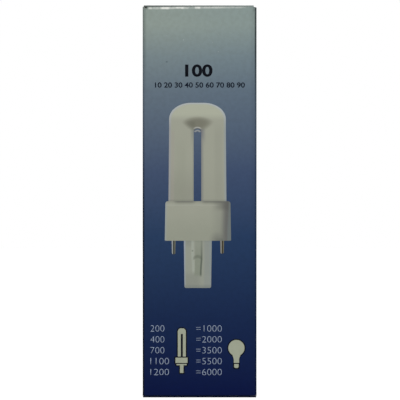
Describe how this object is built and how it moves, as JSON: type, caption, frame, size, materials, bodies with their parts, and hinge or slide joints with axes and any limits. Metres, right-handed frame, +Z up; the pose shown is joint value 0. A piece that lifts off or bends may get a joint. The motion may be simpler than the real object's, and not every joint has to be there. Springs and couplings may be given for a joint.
{
  "type": "lamp carton",
  "caption": "Tall printed card carton with a tuck-in lid at top and bottom, holding a pin-base tube lamp that stands on its post on the carton's dust flaps.",
  "frame": {"origin": "centre of the carton's bottom", "axes": "+Z up along the carton, -Y out of the printed front panel, +X to the right seen from the front"},
  "size_m": [0.035, 0.021, 0.1205],
  "materials": {
    "sleeve_card": "satin",
    "lid_card": "satin",
    "tube_glass": "gloss",
    "base_plastic": "satin",
    "pin_metal": "polished"
  },
  "bodies": {
    "carton": {"carton_sleeve": "sleeve_card", "lamp_tube": "tube_glass", "lamp_base": "base_plastic", "contact_pin_left": "pin_metal", "contact_pin_right": "pin_metal"},
    "top_flap": {"top_lid": "lid_card"},
    "bottom_flap": {"bottom_lid": "lid_card"}
  },
  "joints": [
    {"name": "top_lid_hinge", "type": "hinge", "parent": "carton", "child": "top_flap", "pos_m": [0, 0.01027, 0.12028], "axis": [-1, 0, 0], "range_deg": [0, 150]},
    {"name": "bottom_lid_hinge", "type": "hinge", "parent": "carton", "child": "bottom_flap", "pos_m": [0, -0.01027, 0.00022], "axis": [-1, 0, 0], "range_deg": [0, 150]}
  ]
}
